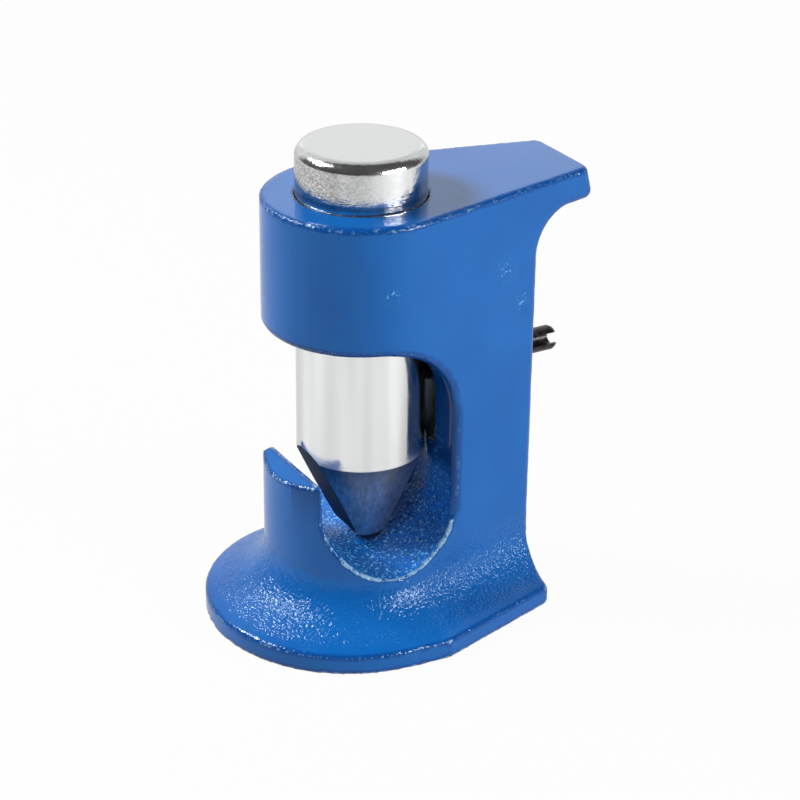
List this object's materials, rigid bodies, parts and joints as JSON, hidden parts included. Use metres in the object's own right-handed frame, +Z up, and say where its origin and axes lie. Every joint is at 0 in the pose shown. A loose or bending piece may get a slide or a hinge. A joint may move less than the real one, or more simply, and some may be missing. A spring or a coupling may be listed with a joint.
{
  "type": "hammer crimping tool",
  "caption": "Hammer-struck cable lug crimper: cast C-shaped frame with round base, anvil groove and horn, and a steel ram with wedge nose that slides in its head.",
  "frame": {"origin": "on the underside of the base, straight below the ram, on the ram's axis", "axes": "+Z up along the ram's axis, +Y towards the column and the horn, +X along the cable in the groove"},
  "size_m": [0.0702, 0.0928, 0.1158],
  "materials": {
    "blue_paint": "glossy enamel over a rough casting",
    "plated_steel": "turned and bright plated",
    "black_steel": "black oxide, oiled"
  },
  "bodies": {
    "frame": {"body": "blue_paint", "retaining_pin": "black_steel"},
    "ram": {"ram": "plated_steel"}
  },
  "joints": [
    {"name": "ram_slide", "type": "slide", "parent": "frame", "child": "ram", "axis": [0, 0, 1], "range_m": [0, 0.02]}
  ]
}
